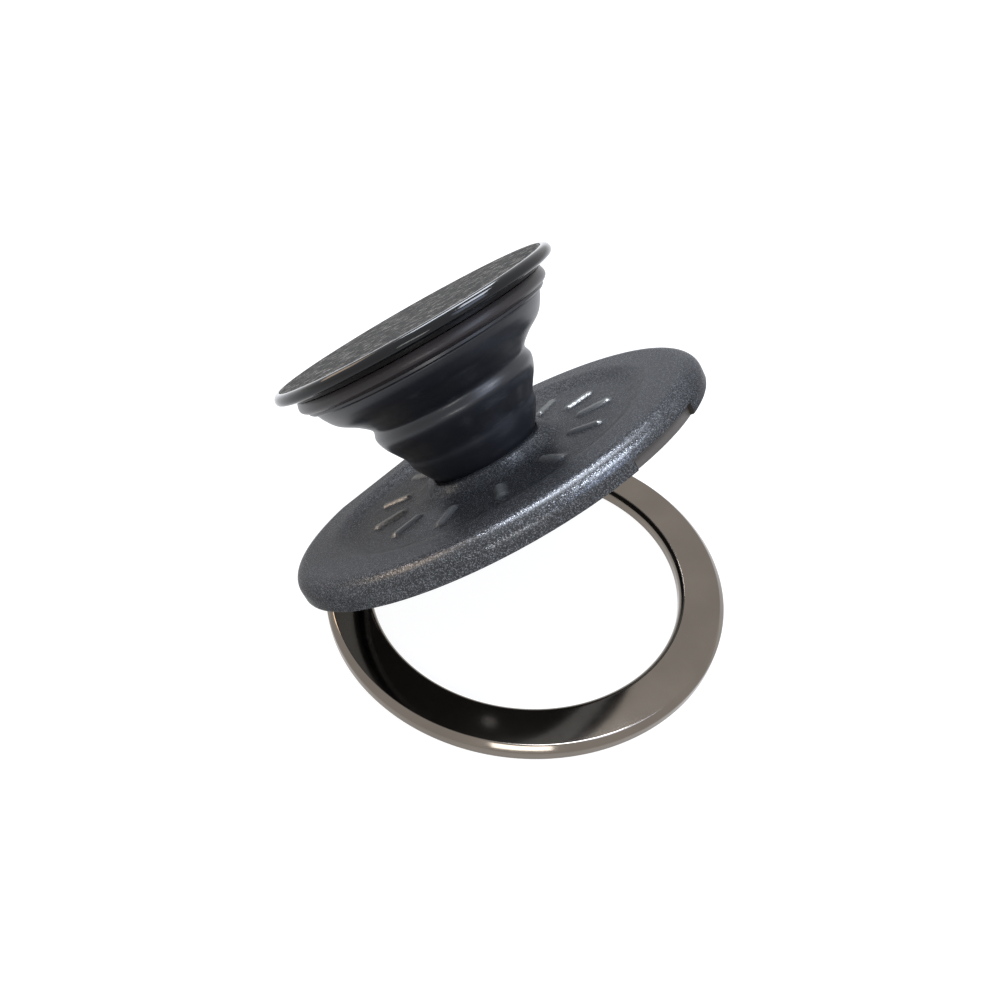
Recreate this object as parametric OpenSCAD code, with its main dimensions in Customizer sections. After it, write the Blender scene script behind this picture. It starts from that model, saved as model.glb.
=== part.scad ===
// Phone grip: a magnetic mounting ring that hinges out of a round disc as a stand,
// with a folding bellows and a quarter-turn cap on the disc.
// Frame: the ring lies flat, its phone side is z = 0 and its centre is the origin.
// The hinge is on the -X side, and the disc stands open above the ring.

/* [Stand] */
// Angle by which the disc is swung open from the ring
open_angle = 40; // [20:1:60]
// Distance of the hinge line from the axis of the ring
hinge_x = 27; // [26.8:0.1:27.2]
// Height of the hinge line above the phone side
hinge_z = 1; // [1:0.05:1.05]
// Radius of the hinge knuckles
knuckle_r = 1; // [0.95:0.05:1]
// Radius of the hinge pin
pin_r = 0.5; // [0.4:0.05:0.55]
// Radial clearance of the pin in the bracket
pin_gap = 0.04; // [0.02:0.01:0.08]

/* [Mounting ring] */
// Outer radius of the ring
ring_r = 28.1; // [28:0.05:28.2]
// Radius of the hole through the ring
ring_hole_r = 21.8; // [21.8:0.05:22]
// Thickness of the ring
ring_t = 2; // [1.9:0.05:2]
// Number of magnets round the ring
magnet_count = 16; // [12:1:18]
// Thickness of a magnet
magnet_t = 0.8; // [0.7:0.05:0.85]

/* [Disc] */
// Outer radius of the disc
disc_r = 29.5; // [29.4:0.1:29.8]
// Thickness of the disc at its raised border
disc_t = 3.4; // [3.3:0.1:3.8]
// Height of the dished floor of the disc
floor_z = 2.45; // [2.4:0.05:2.6]
// Height of the collar round the foot of the bellows
collar_z = 4; // [3.6:0.1:4]
// Number of raised bars on the dished floor
bar_count = 13; // [8:1:15]
// Height of a raised bar above the floor
bar_h = 0.4; // [0.3:0.05:0.5]
// Width of the fingernail notch in the skirt
notch_w = 12.4; // [10:0.2:16]
// Height of the fingernail notch
notch_h = 1.5; // [1:0.1:1.6]

/* [Grip] */
// Height of the cap's face above the underside of the disc
cap_z = 23.8; // [23.7:0.1:24.2]
// Radius of the cap
cap_r = 19.7; // [19.4:0.1:20.2]
// Radius of the platform below the cap
platform_r = 17.7; // [17.4:0.1:17.8]
// Wall of the bellows
bellows_wall = 0.9; // [0.7:0.1:1]
// Number of lugs that lock the cap
lug_count = 2; // [2:1:2]

/* [Hidden] */
EPS = 0.01;
FINE = 96;
SMALL = 32;

// The hinge: knuckles on the ring, one barrel on the disc between them
knuckle_in_y = 4.2;
knuckle_out_y = 7.6;
barrel_y = 3.85;
washer_t = 0.3;
cutout_x = 24;

// The ring's hollow: magnets lie in a channel that opens on the phone side
groove_in_r = 22.8;
groove_out_r = 27.1;
groove_z = 1.45;
groove_angle = 310;
yoke_t = 0.3;
pad_t = groove_z - yoke_t - magnet_t;
channel_gap = 0.05;
magnet_gap = 0.6;
ring_bevel = 0.8;
ring_inner_round = 0.8;

// The underside of the disc: a recess for the ring round a boss
skirt_in_r = 28.45;
boss_r = 21.5;
boss_wall = 0.8;
recess_z = 2.25;
edge_round_w = 2.3;
edge_round_h = 1.9;
border_in_r = 23.5;
floor_out_r = 19.5;
collar_foot_r = 12.2;
collar_top_r = 8.6;
neck_r = 7.5;
neck_hole_r = 7.6;
flat_x = 27.6;
flat_round = 1.2;
relief_y = 12.5;
relief_in_x = 22;
notch_depth = 0.65;
plate_z0 = 0.15;
plate_z1 = 0.9;
shell_z = 1.5;
pocket_r = 10.6;
pocket_wall = 0.8;
pocket_z = 1.9;
rib_count = 8;
rib_w = 0.8;
rib_turn = 22.5;

// The screws of the plate and the rivets of the bracket
screw_ring_r = 16.5;
screw_count = 4;
screw_turn = 45;
screw_r = 0.6;
screw_head_r = 1.2;
screw_head_h = 0.55;
screw_tip_z = 2;
screw_cross_w = 0.28;
screw_cross_l = 1.4;
screw_cross_depth = 0.35;
screw_boss_r = 1.6;
leaf_t = 0.5;
leaf_in_x = 22.5;
leaf_out_x = 27.4;
leaf_y = 10.4;
rivet_x = 24.6;
rivet_y = [-8.6, -5.8, 5.8, 8.6];
rivet_r = 0.5;
rivet_head_r = 0.85;
rivet_head_h = 0.35;
rivet_tip_z = 3.05;

// The steel keeper that the magnets cling to when the ring is folded in
keeper_in_r = 22.6;
keeper_out_r = 27.4;
keeper_t = 0.35;
keeper_gap_y = 11.4;

// The raised bars: each is a slice of a round bar with ball ends
bar_r = 1.6;
bar_in_r = 13.4;
bar_out_r = 17;

// The bellows: outline of its outside as [height, radius], foot to top
bellows_knots = [
    [4, 7.5], [7.8, 9.4], [10.3, 10.7], [12.4, 11.45], [13.8, 11.2],
    [15.3, 12.7], [16.7, 14.7], [18.1, 15.7], [19.2, 16.2]
];
knot_steps = 4;
foot_z = 1.35;
foot_r = 10.4;
foot_t = 0.55;
lip_z0 = 19.35;
lip_z1 = 19.9;
lip_r = 16.9;
lip_in_r = 13;
lip_root_r = 15.3;

// The platform, its socket for the cap, and the ring that holds the bellows' lip
platform_z0 = 18.8;
platform_z1 = 21.65;
socket_wall_r = 10.8;
socket_r = 8.6;
socket_floor_z = 19.7;
track_r = 9.6;
track_top_z = 20.8;
track_angle = 126;
track_turn = -18;
slot_angle = 36;
top_ring_z0 = 18.5;
top_ring_r = 14.7;
top_ring_in_r = 11;
top_ring_spigot_r = 12.6;

// The cap
cap_under_z = 21.75;
cap_neck_r = 17.6;
cap_round = 0.85;
cap_cone_r = 19.35;
cap_cone_z = 22.4;
face_r = 18.6;
face_t = 0.35;
face_gap = 0.05;
stem_r = 8.4;
stem_in_r = 7;
stem_z = 19.95;
lug_r = 9.3;
lug_h = 0.7;
lug_angle = 30;
lug_turn = 90;

function two_digits(n) = str(n < 10 ? "0" : "", n);
function magnet_name(n) = str("ring_magnet_", two_digits(n));

// Points along an arc, in degrees
function arc(cx, cy, r, from, to, n) =
    [for (i = [0 : n]) let (a = from + (to - from) * i / n) [cx + r * cos(a), cy + r * sin(a)]];

// Smooth step from 0 to 1
function ease(t) = (1 - cos(180 * t)) / 2;

// A smooth curve through a list of points
function curve_point(k, i, t) =
    let (a = k[max(i - 1, 0)], b = k[i], c = k[i + 1], d = k[min(i + 2, len(k) - 1)])
    (2 * b + (c - a) * t + (2 * a - 5 * b + 4 * c - d) * t * t
     + (3 * b - a - 3 * c + d) * t * t * t) / 2;
function curve(k, n) = concat(
    [for (i = [0 : len(k) - 2], s = [0 : n - 1]) curve_point(k, i, s / n)],
    [k[len(k) - 1]]
);

// Puts what is drawn in the disc's own frame where the open disc stands
module on_open_disc() {
    translate([-hinge_x, 0, hinge_z])
        rotate([0, -open_angle, 0])
            translate([hinge_x, 0, -hinge_z])
                children();
}

// A flat ring, or a stretch of one
module washer_shape(r_in, r_out, z0, z1, angle = 360, turn = 0) {
    rotate([0, 0, turn])
        rotate_extrude(angle = angle, $fn = FINE)
            translate([r_in, z0])
                square([r_out - r_in, z1 - z0]);
}

// A round bar along Y at the hinge line
module hinge_bar(r, y0, y1) {
    translate([-hinge_x, y0, hinge_z])
        rotate([-90, 0, 0])
            cylinder(r = r, h = y1 - y0, $fn = SMALL);
}

// One copy for each side of the object
module both_sides() {
    children();
    mirror([0, 1, 0])
        children();
}

module ring_section() {
    polygon(concat(
        [[ring_hole_r, 0], [ring_r, 0], [ring_r, ring_t - ring_bevel], [ring_r - ring_bevel, ring_t]],
        arc(ring_hole_r + ring_inner_round, ring_t - ring_inner_round, ring_inner_round, 90, 180, 6)
    ));
}

module ring_frame() {
    color("#5b5551")
    difference() {
        union() {
            difference() {
                rotate_extrude($fn = FINE)
                    ring_section();
                translate([-hinge_x - 3, -knuckle_out_y - 1, -1])
                    cube([3, 2 * knuckle_out_y + 2, ring_t + 2]);
            }
            both_sides()
                hinge_bar(knuckle_r, knuckle_in_y, knuckle_out_y);
        }
        translate([-hinge_x - 2, -knuckle_in_y, -1])
            cube([hinge_x - cutout_x + 2, 2 * knuckle_in_y, ring_t + 2]);
        washer_shape(groove_in_r, groove_out_r, -1, groove_z, groove_angle, -groove_angle / 2);
        hinge_bar(pin_r, -knuckle_out_y - 1, knuckle_out_y + 1);
    }
}

// What lies in the ring's channel: a steel yoke, the magnets and a soft pad, from the top down
module in_channel(z0, z1, angle, turn) {
    washer_shape(groove_in_r + channel_gap, groove_out_r - channel_gap, z0, z1, angle, turn);
}

module ring_yoke() {
    color("#8d9094")
    in_channel(groove_z - yoke_t, groove_z, groove_angle - 1, -groove_angle / 2 + 0.5);
}

module ring_magnet(n) {
    pitch = (groove_angle - 1) / magnet_count;
    color("#b7babd")
    in_channel(pad_t, pad_t + magnet_t, pitch - magnet_gap,
               -groove_angle / 2 + 0.5 + (n - 1) * pitch + magnet_gap / 2);
}

module ring_pad() {
    color("#1c1d1f")
    in_channel(0, pad_t, groove_angle - 1, -groove_angle / 2 + 0.5);
}

module hinge_pin() {
    color("#a8abae")
    hinge_bar(pin_r, -knuckle_out_y + 0.1, knuckle_out_y - 0.1);
}

// A thin washer that gives the hinge its drag; side is 1 or -1
module friction_washer(side) {
    color("#c9b27a")
    difference() {
        hinge_bar(knuckle_r - 0.05, side > 0 ? knuckle_in_y - washer_t : -knuckle_in_y,
                  side > 0 ? knuckle_in_y : -knuckle_in_y + washer_t);
        hinge_bar(pin_r, -knuckle_out_y, knuckle_out_y);
    }
}

// Half section of the cover's upper surface, from the neck hole out to the skirt
function cover_top() = concat(
    [[neck_hole_r, collar_z - 0.15], [neck_hole_r + 0.15, collar_z], [collar_top_r - 0.3, collar_z]],
    [for (i = [0 : 6]) let (r = collar_top_r + (collar_foot_r - collar_top_r) * i / 6)
        [r, floor_z + (collar_z - 0.1 - floor_z) * pow((collar_foot_r - r) / (collar_foot_r - collar_top_r), 2)]],
    [for (i = [0 : 6]) [floor_out_r + (border_in_r - floor_out_r) * i / 6,
                        floor_z + (disc_t - floor_z) * ease(i / 6)]],
    [for (p = arc(0, 0, 1, 90, 0, 8)) [disc_r - edge_round_w * (1 - p[0]), disc_t - edge_round_h * (1 - p[1])]]
);

module cover_section() {
    polygon(concat(
        cover_top(),
        [[disc_r, 0.3], [disc_r - 0.3, 0], [skirt_in_r, 0], [skirt_in_r, recess_z], [boss_r, recess_z],
         [boss_r, plate_z0], [boss_r - boss_wall, plate_z0], [boss_r - boss_wall, shell_z],
         [pocket_r + pocket_wall, shell_z], [pocket_r + pocket_wall, plate_z1], [pocket_r, plate_z1],
         [pocket_r, pocket_z], [neck_hole_r, pocket_z]]
    ));
}

// Copies at the plate's screws
module at_screws() {
    for (i = [0 : screw_count - 1])
        rotate([0, 0, screw_turn + i * 360 / screw_count])
            translate([screw_ring_r, 0, 0])
                children();
}

// Copies at the bracket's rivets
module at_rivets() {
    for (y = rivet_y)
        translate([-rivet_x, y, recess_z])
            children();
}

module raised_bar() {
    translate([0, 0, floor_z + bar_h - bar_r]) {
        translate([bar_in_r, 0, 0])
            rotate([0, 90, 0])
                cylinder(r = bar_r, h = bar_out_r - bar_in_r, $fn = SMALL);
        translate([bar_in_r, 0, 0])
            sphere(r = bar_r, $fn = SMALL);
        translate([bar_out_r, 0, 0])
            sphere(r = bar_r, $fn = SMALL);
    }
}

module raised_bars() {
    intersection() {
        for (i = [0 : bar_count - 1])
            rotate([0, 0, (i + 0.5) * 360 / bar_count])
                raised_bar();
        translate([0, 0, floor_z - 0.3])
            cylinder(r = floor_out_r, h = 2, $fn = FINE);
    }
}

module disc_cover() {
    color("#3d4044")
    on_open_disc()
    difference() {
        union() {
            rotate_extrude($fn = FINE)
                cover_section();
            raised_bars();
            for (i = [0 : rib_count - 1])
                rotate([0, 0, rib_turn + i * 360 / rib_count])
                    translate([pocket_r + pocket_wall / 2, -rib_w / 2, plate_z1])
                        cube([boss_r - boss_wall / 2 - pocket_r - pocket_wall / 2, rib_w, shell_z - plate_z1 + 0.3]);
            at_screws()
                translate([0, 0, plate_z1])
                    cylinder(r = screw_boss_r, h = shell_z - plate_z1 + 0.3, $fn = SMALL);
        }
        // The flat at the hinge, and the skirt cut away where the ring swings out
        translate([-disc_r - 5, -disc_r, -5])
            cube([disc_r + 5 - flat_x, 2 * disc_r, 15]);
        difference() {
            translate([-disc_r, -disc_r, disc_t - flat_round])
                cube([disc_r - flat_x + flat_round, 2 * disc_r, 2]);
            translate([flat_round - flat_x, -disc_r - 1, disc_t - flat_round])
                rotate([-90, 0, 0])
                    cylinder(r = flat_round, h = 2 * disc_r + 2, $fn = SMALL);
        }
        translate([-disc_r - 5, -relief_y, -5])
            cube([disc_r + 5 - relief_in_x, 2 * relief_y, 5 + recess_z]);
        // Seats of the bracket and the keeper
        translate([-disc_r - 5, -leaf_y - 0.1, recess_z - EPS])
            cube([disc_r + 5 - leaf_in_x + 0.1, 2 * leaf_y + 0.2, leaf_t + EPS]);
        difference() {
            washer_shape(keeper_in_r - 0.1, keeper_out_r + 0.1, recess_z - EPS, recess_z + keeper_t);
            translate([-disc_r, -keeper_gap_y + 0.1, 0])
                cube([disc_r, 2 * keeper_gap_y - 0.2, 5]);
        }
        at_screws()
            translate([0, 0, plate_z1 - EPS])
                cylinder(r = screw_r, h = screw_tip_z - plate_z1 + EPS, $fn = SMALL);
        at_rivets()
            cylinder(r = rivet_r, h = rivet_tip_z - recess_z, $fn = SMALL);
        // Fingernail notch opposite the hinge
        intersection() {
            translate([0, -notch_w / 2, -1])
                cube([disc_r + 5, notch_w, 1 + notch_h]);
            washer_shape(disc_r - notch_depth, disc_r + 5, -1, notch_h);
        }
    }
}

module disc_plate() {
    color("#2a2c2f")
    on_open_disc()
    difference() {
        translate([0, 0, plate_z0])
            cylinder(r = boss_r - boss_wall - 0.1, h = plate_z1 - plate_z0, $fn = FINE);
        at_screws() {
            translate([0, 0, plate_z0 - EPS])
                cylinder(r = screw_r + 0.1, h = 2, $fn = SMALL);
            translate([0, 0, plate_z0])
                cylinder(r1 = screw_head_r, r2 = screw_r, h = screw_head_h, $fn = SMALL);
        }
    }
}

module keeper_ring() {
    color("#8f9296")
    on_open_disc()
    difference() {
        washer_shape(keeper_in_r, keeper_out_r, recess_z, recess_z + keeper_t);
        translate([-disc_r, -keeper_gap_y, 0])
            cube([disc_r, 2 * keeper_gap_y, 5]);
    }
}

module hinge_bracket() {
    color("#777a7e")
    on_open_disc()
    difference() {
        union() {
            hinge_bar(knuckle_r, -barrel_y, barrel_y);
            translate([-leaf_out_x, -barrel_y, hinge_z])
                cube([leaf_out_x - hinge_x + knuckle_r, 2 * barrel_y, recess_z + leaf_t - hinge_z]);
            translate([-leaf_out_x, -leaf_y, recess_z])
                cube([leaf_out_x - leaf_in_x, 2 * leaf_y, leaf_t]);
        }
        hinge_bar(pin_r + pin_gap, -barrel_y - 1, barrel_y + 1);
        at_rivets() {
            cylinder(r = rivet_r, h = 1, $fn = SMALL);
            cylinder(r1 = rivet_head_r, r2 = rivet_r, h = rivet_head_h, $fn = SMALL);
        }
        // The leaf's corners follow the flat's ends
        both_sides()
            translate([-leaf_out_x - 1, leaf_y, recess_z - 0.5])
                rotate([0, 0, -35])
                    cube([8, 4, 2]);
    }
}

module bracket_rivets() {
    color("#b9bcc0")
    on_open_disc()
    at_rivets() {
        cylinder(r = rivet_r, h = rivet_tip_z - recess_z, $fn = SMALL);
        cylinder(r1 = rivet_head_r, r2 = rivet_r, h = rivet_head_h, $fn = SMALL);
    }
}

module plate_screws() {
    color("#9a9da1")
    on_open_disc()
    at_screws()
    difference() {
        union() {
            translate([0, 0, plate_z0])
                cylinder(r = screw_r, h = screw_tip_z - plate_z0, $fn = SMALL);
            translate([0, 0, plate_z0])
                cylinder(r1 = screw_head_r, r2 = screw_r, h = screw_head_h, $fn = SMALL);
        }
        for (turn = [0, 90])
            rotate([0, 0, turn])
                translate([-screw_cross_l / 2, -screw_cross_w / 2, plate_z0 - EPS])
                    cube([screw_cross_l, screw_cross_w, screw_cross_depth]);
    }
}

module bellows_clamp() {
    color("#26282b")
    on_open_disc()
    washer_shape(neck_r - bellows_wall, foot_r, plate_z1, foot_z);
}

function bellows_outside() = [for (p = curve(bellows_knots, knot_steps)) [p[1], p[0]]];
function bellows_inside() =
    let (out = bellows_outside())
    [for (i = [len(out) - 1 : -1 : 0]) [out[i][0] - bellows_wall, out[i][1]]];

module bellows() {
    color("#1b1d20")
    on_open_disc()
    rotate_extrude($fn = FINE)
        polygon(concat(
            [[neck_r - bellows_wall, foot_z], [foot_r, foot_z], [foot_r, foot_z + foot_t], [neck_r, foot_z + foot_t]],
            bellows_outside(),
            [[lip_r - 0.7, lip_z0], [lip_r - 0.2, lip_z0 + 0.05], [lip_r, lip_z0 + 0.25], [lip_r, lip_z1],
             [lip_in_r, lip_z1], [lip_in_r, lip_z0], [lip_root_r, lip_z0]],
            bellows_inside()
        ));
}

module platform_section() {
    polygon([
        [0, platform_z0], [socket_wall_r - 0.4, platform_z0], [socket_wall_r, platform_z0 + 0.4],
        [socket_wall_r, lip_z1], [lip_r - 0.1, lip_z1], [platform_r - 0.12, lip_z1 + 0.3],
        [platform_r, lip_z1 + 0.6], [platform_r - 0.05, lip_z1 + 0.95], [cap_neck_r - 0.2, platform_z1],
        [0, platform_z1]
    ]);
}

module platform() {
    color("#222427")
    on_open_disc()
    difference() {
        rotate_extrude($fn = FINE)
            platform_section();
        translate([0, 0, socket_floor_z])
            cylinder(r = socket_r, h = 5, $fn = FINE);
        // The track that the cap's lugs turn in, and the slots that let them in
        for (turn = [lug_turn : 360 / lug_count : lug_turn + 359]) {
            washer_shape(socket_r - 1, track_r, socket_floor_z, track_top_z, track_angle, turn + track_turn);
            washer_shape(socket_r - 1, track_r, socket_floor_z, platform_z1 + 1, slot_angle,
                         turn + 90 - slot_angle / 2);
        }
    }
}

module bellows_top_ring() {
    color("#2f3235")
    on_open_disc()
    rotate_extrude($fn = FINE)
        polygon([
            [top_ring_in_r, top_ring_z0], [top_ring_r, top_ring_z0], [top_ring_r, lip_z0],
            [top_ring_spigot_r, lip_z0], [top_ring_spigot_r, lip_z1], [top_ring_in_r, lip_z1]
        ]);
}

module cap_section() {
    polygon(concat(
        [[0, cap_under_z], [stem_in_r, cap_under_z], [stem_in_r, stem_z], [stem_r, stem_z],
         [stem_r, cap_under_z], [cap_neck_r, cap_under_z], [cap_cone_r, cap_cone_z]],
        arc(cap_r - cap_round, cap_z - cap_round, cap_round, -20, 90, 8),
        [[face_r + face_gap, cap_z], [face_r + face_gap, cap_z - face_t], [0, cap_z - face_t]]
    ));
}

module cap_disc() {
    color("#2b2e32")
    on_open_disc() {
        rotate_extrude($fn = FINE)
            cap_section();
        for (turn = [lug_turn : 360 / lug_count : lug_turn + 359])
            washer_shape(stem_r - 0.3, lug_r, stem_z, stem_z + lug_h, lug_angle, turn - lug_angle / 2);
    }
}

module cap_face() {
    color("#5a5b5c")
    on_open_disc()
    translate([0, 0, cap_z - face_t])
        cylinder(r = face_r, h = face_t, $fn = FINE);
}

ring_frame();
ring_yoke();
for (n = [1 : magnet_count])
    ring_magnet(n);
ring_pad();
hinge_pin();
friction_washer(1);  // friction_washer_left
friction_washer(-1);  // friction_washer_right
disc_cover();
disc_plate();
keeper_ring();
hinge_bracket();
bracket_rivets();
plate_screws();
bellows_clamp();
bellows();
platform();
bellows_top_ring();
cap_disc();
cap_face();
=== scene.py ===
import math

import bmesh
import bpy
import numpy as np
from mathutils import Matrix, Vector


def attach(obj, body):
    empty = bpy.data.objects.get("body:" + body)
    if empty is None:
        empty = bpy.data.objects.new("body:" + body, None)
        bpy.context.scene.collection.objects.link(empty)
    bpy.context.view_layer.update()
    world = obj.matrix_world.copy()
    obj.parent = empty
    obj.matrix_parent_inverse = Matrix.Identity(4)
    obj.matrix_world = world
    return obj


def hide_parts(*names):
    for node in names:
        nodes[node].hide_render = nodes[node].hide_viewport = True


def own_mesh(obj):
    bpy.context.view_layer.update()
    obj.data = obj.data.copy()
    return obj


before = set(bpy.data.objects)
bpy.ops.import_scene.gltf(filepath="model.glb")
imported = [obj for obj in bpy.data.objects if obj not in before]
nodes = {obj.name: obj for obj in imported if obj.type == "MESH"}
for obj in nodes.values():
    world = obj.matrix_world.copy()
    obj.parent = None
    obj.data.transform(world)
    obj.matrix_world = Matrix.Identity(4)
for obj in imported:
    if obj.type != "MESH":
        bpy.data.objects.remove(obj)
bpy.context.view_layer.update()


# The viewpoint
# A phone camera held over the grip from the side opposite the hinge, fitted to the outlines of the
# disc, the cap and both edges of the ring.
MM = 0.001
CAMERA_PLACE = (45.25, -74.67, 102.36)
CAMERA_AZIMUTH, CAMERA_DOWN, CAMERA_ROLL = 124.085, 44.604, 3.80
camera_data = bpy.data.cameras.new("phone_camera")
camera_data.lens = 33.64
camera_data.sensor_width = 36
camera_data.clip_start = 0.005
camera = bpy.data.objects.new("phone_camera", camera_data)
camera.matrix_world = (
    Matrix.Translation(Vector(CAMERA_PLACE) * MM)
    @ Matrix.Rotation(math.radians(CAMERA_AZIMUTH - 90), 4, "Z")
    @ Matrix.Rotation(math.radians(90 - CAMERA_DOWN), 4, "X")
    @ Matrix.Rotation(math.radians(CAMERA_ROLL), 4, "Z")
)
bpy.context.collection.objects.link(camera)
scene = bpy.context.scene
scene.camera = camera
scene.view_settings.view_transform = "Standard"


# The table and the room's light
# A white table under a wide soft window behind the grip, a ceiling lamp, a bluish skylight, a warm
# corner of the room and a small lamp on the near side. The table and the room are white to the eye
# and in reflections, and the table keeps the soft shadow.
WHITE, BLACK = (1, 1, 1, 1), (0, 0, 0, 1)
TABLE_GREY, TABLE_GLOW, ROOM_FILL = (0.22, 0.22, 0.22, 1), 0.93, 0.15
TABLE_HALF = 3.0 / MM
TABLE_Z = -0.05
GRIP_MIDDLE = (-5, 0, 15)


def linear(code):
    """An sRGB colour, as #rrggbb, turned to the linear colour that a shader takes."""
    values = [int(code[i:i + 2], 16) / 255 for i in (1, 3, 5)]
    return [v / 12.92 if v <= 0.04045 else ((v + 0.055) / 1.055) ** 2.4 for v in values] + [1.0]


def add(tree, kind, inputs=None, **settings):
    """A node of that kind with its settings. An input takes a value, or a socket to link from."""
    node = tree.nodes.new(kind)
    for name, value in settings.items():
        setattr(node, name, value)
    for name, value in (inputs or {}).items():
        if isinstance(value, bpy.types.NodeSocket):
            tree.links.new(value, node.inputs[name])
        else:
            node.inputs[name].default_value = value
    return node


def seen_directly(tree):
    """1 for what the eye sees itself, in a reflection or through glass. 0 for light that falls."""
    path = add(tree, "ShaderNodeLightPath").outputs
    both = add(tree, "ShaderNodeMath", {0: path["Is Camera Ray"], 1: path["Is Glossy Ray"]},
               operation="ADD")
    seen = add(tree, "ShaderNodeMath", {0: both.outputs[0], 1: path["Is Transmission Ray"]},
               operation="ADD", use_clamp=True)
    return seen.outputs[0]


def room_light():
    """A white room to the eye, and a faint bluish fill as light."""
    world = bpy.data.worlds.new("white_room")
    world.use_nodes = True
    tree = world.node_tree
    tree.nodes.clear()
    fill = add(tree, "ShaderNodeBackground", {"Color": linear("#f4f7ff"), "Strength": ROOM_FILL})
    white = add(tree, "ShaderNodeBackground", {"Color": WHITE, "Strength": 1.0})
    both = add(tree, "ShaderNodeMixShader",
               {0: seen_directly(tree), 1: fill.outputs[0], 2: white.outputs[0]})
    add(tree, "ShaderNodeOutputWorld", {"Surface": both.outputs[0]})
    return world


def table_top():
    """A table that glows white to the eye and is lit as a grey one, so shadows show on it."""
    material = bpy.data.materials.new("white_laminate")
    material.use_nodes = True
    tree = material.node_tree
    tree.nodes.clear()
    lit = add(tree, "ShaderNodeBsdfDiffuse", {"Color": TABLE_GREY})
    glow = add(tree, "ShaderNodeEmission", {"Color": WHITE, "Strength": seen_directly(tree)})
    plain = add(tree, "ShaderNodeEmission", {"Color": BLACK, "Strength": 0.0})
    dim = add(tree, "ShaderNodeMixShader", {0: TABLE_GLOW, 1: plain.outputs[0], 2: glow.outputs[0]})
    both = add(tree, "ShaderNodeAddShader", {0: lit.outputs[0], 1: dim.outputs[0]})
    add(tree, "ShaderNodeOutputMaterial", {"Surface": both.outputs[0]})
    mesh = bpy.data.meshes.new("table_top")
    side = TABLE_HALF * MM
    corners = [(-side, -side, 0), (side, -side, 0), (side, side, 0), (-side, side, 0)]
    mesh.from_pydata(corners, [], [(0, 1, 2, 3)])
    mesh.materials.append(material)
    table = bpy.data.objects.new("table_top", mesh)
    table.location.z = TABLE_Z * MM
    bpy.context.collection.objects.link(table)


def lamp(name, azimuth, elevation, distance, width, height, power, tint):
    """A soft rectangular lamp that looks at the middle of the grip. Metres, watts and degrees."""
    data = bpy.data.lights.new(name, "AREA")
    data.shape = "RECTANGLE"
    data.size = width
    data.size_y = height
    data.energy = power
    data.color = linear(tint)[:3]
    light = bpy.data.objects.new(name, data)
    around, up = math.radians(azimuth), math.radians(elevation)
    flat = math.cos(up)
    toward = Vector((math.cos(around) * flat, math.sin(around) * flat, math.sin(up)))
    place = Matrix.Translation(Vector(GRIP_MIDDLE) * MM + toward * distance)
    light.matrix_world = place @ toward.to_track_quat("Z", "Y").to_matrix().to_4x4()
    bpy.context.collection.objects.link(light)


scene.world = room_light()
table_top()
lamp("window", 154, 44, 0.42, 0.25, 0.14, 2.20, "#eef4ff")
lamp("warm_corner", -170, 20, 0.42, 0.16, 0.14, 0.40, "#ffdfc0")
lamp("near_lamp", -52, 30, 0.40, 0.17, 0.08, 0.30, "#ffffff")
lamp("skylight", 4, 52, 0.42, 0.20, 0.20, 0.55, "#cfdfff")
lamp("ceiling_lamp", 64, 77, 0.42, 0.15, 0.15, 1.70, "#e9f1ff")


# Mounting ring
# A stamped steel ring, polished and coated dark by vapour deposition, chamfered outside and rolled
# inside. Two knuckles are formed at the hinge. A channel for the magnets opens on the phone side.
SEGMENTS, ROD_SIDES, SHARP_ANGLE = 360, 64, 32
MERGE_GAP, SLIVER = 0.002, 0.001
FAR = 40
HINGE_X, HINGE_Z = 27.0, 1.0
RING_R, RING_HOLE_R, RING_T = 28.1, 21.8, 2.0
RING_CHAMFER, RING_ROLL_W, RING_ROLL_H, RING_EDGE = 0.72, 0.8, 1.0, 0.12
CHANNEL_IN_R, CHANNEL_OUT_R, CHANNEL_Z, CHANNEL_ANGLE = 22.8, 27.1, 1.45, 310
RING_FLAT_Y, CUTOUT_X = 8.6, 24
KNUCKLE_R, KNUCKLE_Y0, KNUCKLE_Y1 = 1.0, 4.2, 7.6
PIN_R, PIN_HOLE_Y = 0.5, 9


def arc(cx, cy, r, start, end, steps):
    """Points along an arc, in degrees."""
    turns = np.radians(np.linspace(start, end, steps + 1))
    return [(cx + r * math.cos(t), cy + r * math.sin(t)) for t in turns]


def turning_tree():
    """Turns a section, drawn as an edge chain with radius along X and height along Y, round the Z
    axis."""
    tree = bpy.data.node_groups.new("turned_part", "GeometryNodeTree")
    tree.is_modifier = True
    face = tree.interface
    face.new_socket("Section", in_out="INPUT", socket_type="NodeSocketGeometry")
    face.new_socket("Segments", in_out="INPUT", socket_type="NodeSocketInt")
    face.new_socket("Finish", in_out="INPUT", socket_type="NodeSocketMaterial")
    face.new_socket("Geometry", in_out="OUTPUT", socket_type="NodeSocketGeometry")
    given = add(tree, "NodeGroupInput").outputs
    hub = 1.0 * MM
    placed = add(tree, "GeometryNodeTransform",
                 {"Geometry": given["Section"], "Translation": (-hub, 0, 0), "Scale": (1, -1, 1)})
    section = add(tree, "GeometryNodeMeshToCurve", {"Mesh": placed.outputs[0]})
    path = add(tree, "GeometryNodeCurvePrimitiveCircle",
               {"Resolution": given["Segments"], "Radius": hub})
    swept = add(tree, "GeometryNodeCurveToMesh",
                {"Curve": path.outputs[0], "Profile Curve": section.outputs[0]})
    real = add(tree, "GeometryNodeRealizeInstances", {0: swept.outputs[0]})
    finish = add(tree, "GeometryNodeSetMaterial",
                 {"Geometry": real.outputs[0], "Material": given["Finish"]})
    tree.links.new(finish.outputs[0], add(tree, "NodeGroupOutput").inputs[0])
    return tree


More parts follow.
